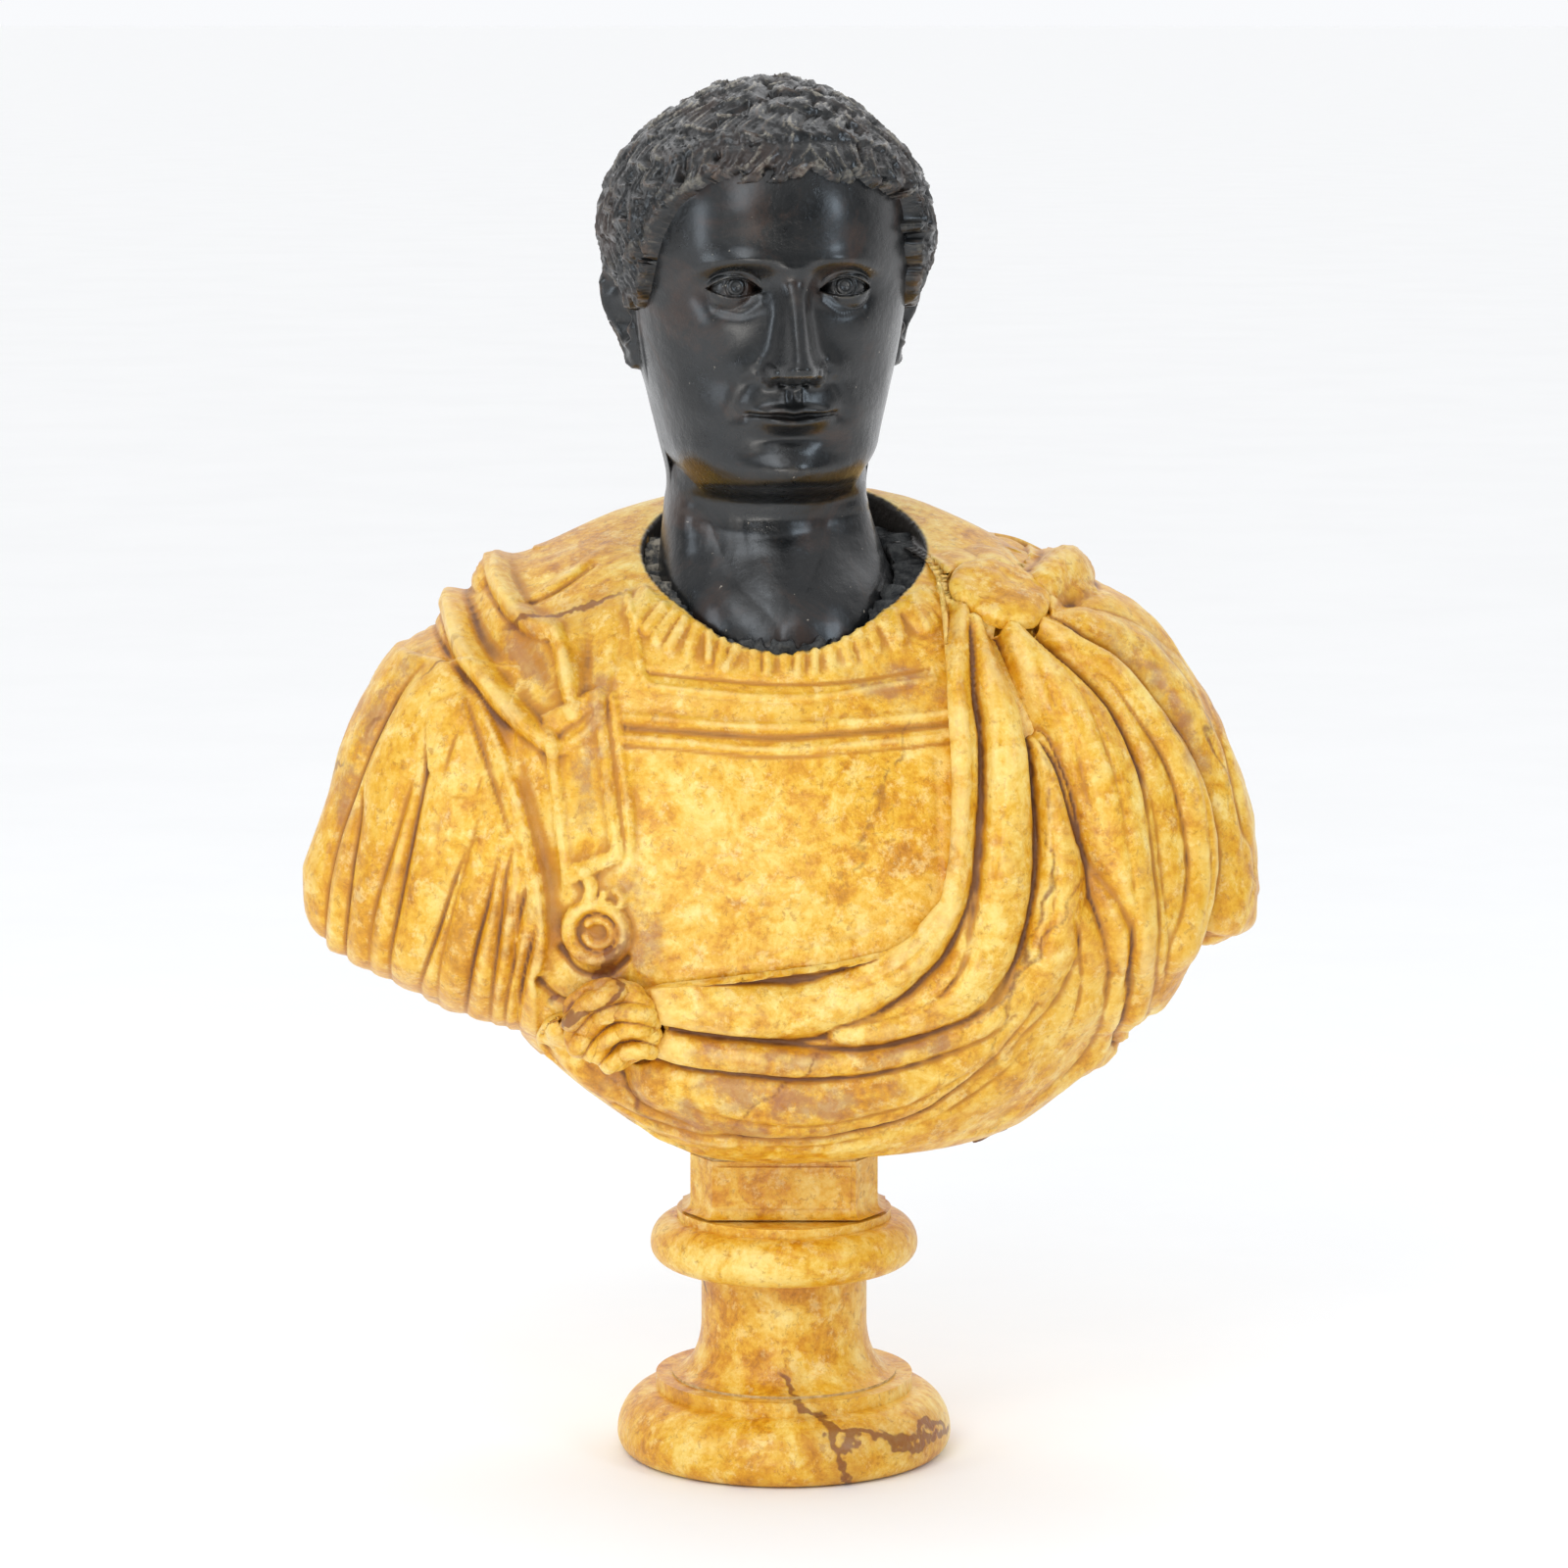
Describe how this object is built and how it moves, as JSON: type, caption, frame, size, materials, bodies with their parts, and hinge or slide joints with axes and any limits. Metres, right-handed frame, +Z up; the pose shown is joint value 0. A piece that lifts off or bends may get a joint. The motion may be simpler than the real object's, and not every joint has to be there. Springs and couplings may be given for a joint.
{
  "type": "portrait bust",
  "caption": "Portrait bust: dark stone head set in the socket of a draped, hollow-backed yellow marble torso, clamped by a tie rod to a turned round socle.",
  "frame": {"origin": "centre of the foot's resting face, on the axis of the socle and of the tie rod", "axes": "+Z up, the bust faces -Y, +X to the wearer's left"},
  "size_m": [0.5485, 0.252, 0.791],
  "materials": {
    "yellow_marble": "waxed stone with a satin sheen, mottled cream and ochre, with brown and mauve veins",
    "black_stone": "polished near-black stone, worn brown and dusty in its hollows",
    "lime_mortar": "rough, matt",
    "iron": "dark, oxidised",
    "lead": "dull grey"
  },
  "bodies": {
    "root": {"socle_foot": "yellow_marble", "shaft_bed": "lime_mortar", "socle_shaft": "yellow_marble", "collar_bed": "lime_mortar", "socle_collar": "yellow_marble", "block_bed": "lime_mortar", "support_block": "yellow_marble", "bust_bed": "lime_mortar", "torso": "yellow_marble", "right_sleeve": "yellow_marble", "sleeve_dowels": "iron", "cloak": "yellow_marble", "cloak_dowels": "iron", "brooch": "yellow_marble", "brooch_pin": "iron", "cloak_knot": "yellow_marble", "knot_pin": "iron", "head": "black_stone", "neck_dowel": "iron", "neck_mortar": "lime_mortar", "tie_rod": "iron", "rod_nut": "iron", "rod_washer": "iron", "rod_lead": "lead"}
  },
  "joints": []
}
